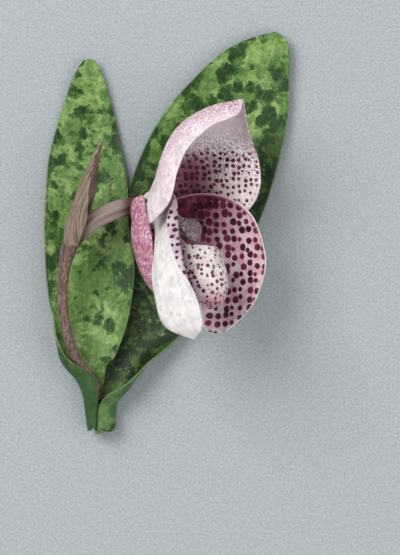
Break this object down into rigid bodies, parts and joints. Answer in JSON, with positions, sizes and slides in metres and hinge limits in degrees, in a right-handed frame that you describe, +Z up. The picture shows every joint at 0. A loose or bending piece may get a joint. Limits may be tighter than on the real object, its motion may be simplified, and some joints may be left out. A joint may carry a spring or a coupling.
{
  "type": "slipper orchid plant",
  "caption": "Spotted slipper orchid lying on its back, with broad strap leaves clasping at the base, a bent scape, a bract and a cupped flower with an inflated pouch.",
  "frame": {"origin": "on the surface the plant lies on, below the middle of its outline", "axes": "+Z up from the surface, +Y from the cut base towards the leaf tips, +X towards the side the flower hangs to"},
  "size_m": [0.0688, 0.112, 0.047],
  "materials": {
    "leaf": "satin leaf skin, pale green with darker mottling",
    "shoot": "matte cut plant tissue, pale green",
    "scape": "finely hairy purple-brown stem",
    "bract": "matte grey-brown with reddish streaks",
    "ovary": "finely hairy, grey-brown ribs",
    "sepal": "satin, whitish pink with maroon dots",
    "petal": "satin, whitish pink with round maroon spots",
    "lip": "waxy cream with small dark purple dots",
    "column": "waxy pale pink",
    "staminode": "matte grey with fine stipple"
  },
  "bodies": {
    "root": {"leaf_left": "leaf", "leaf_right": "leaf", "shoot_base": "shoot", "scape": "scape", "bract": "bract", "ovary": "ovary", "dorsal_sepal": "sepal", "synsepal": "sepal", "petal_near": "petal", "petal_far": "petal", "lip": "lip", "column": "column", "staminode": "staminode"}
  },
  "joints": []
}
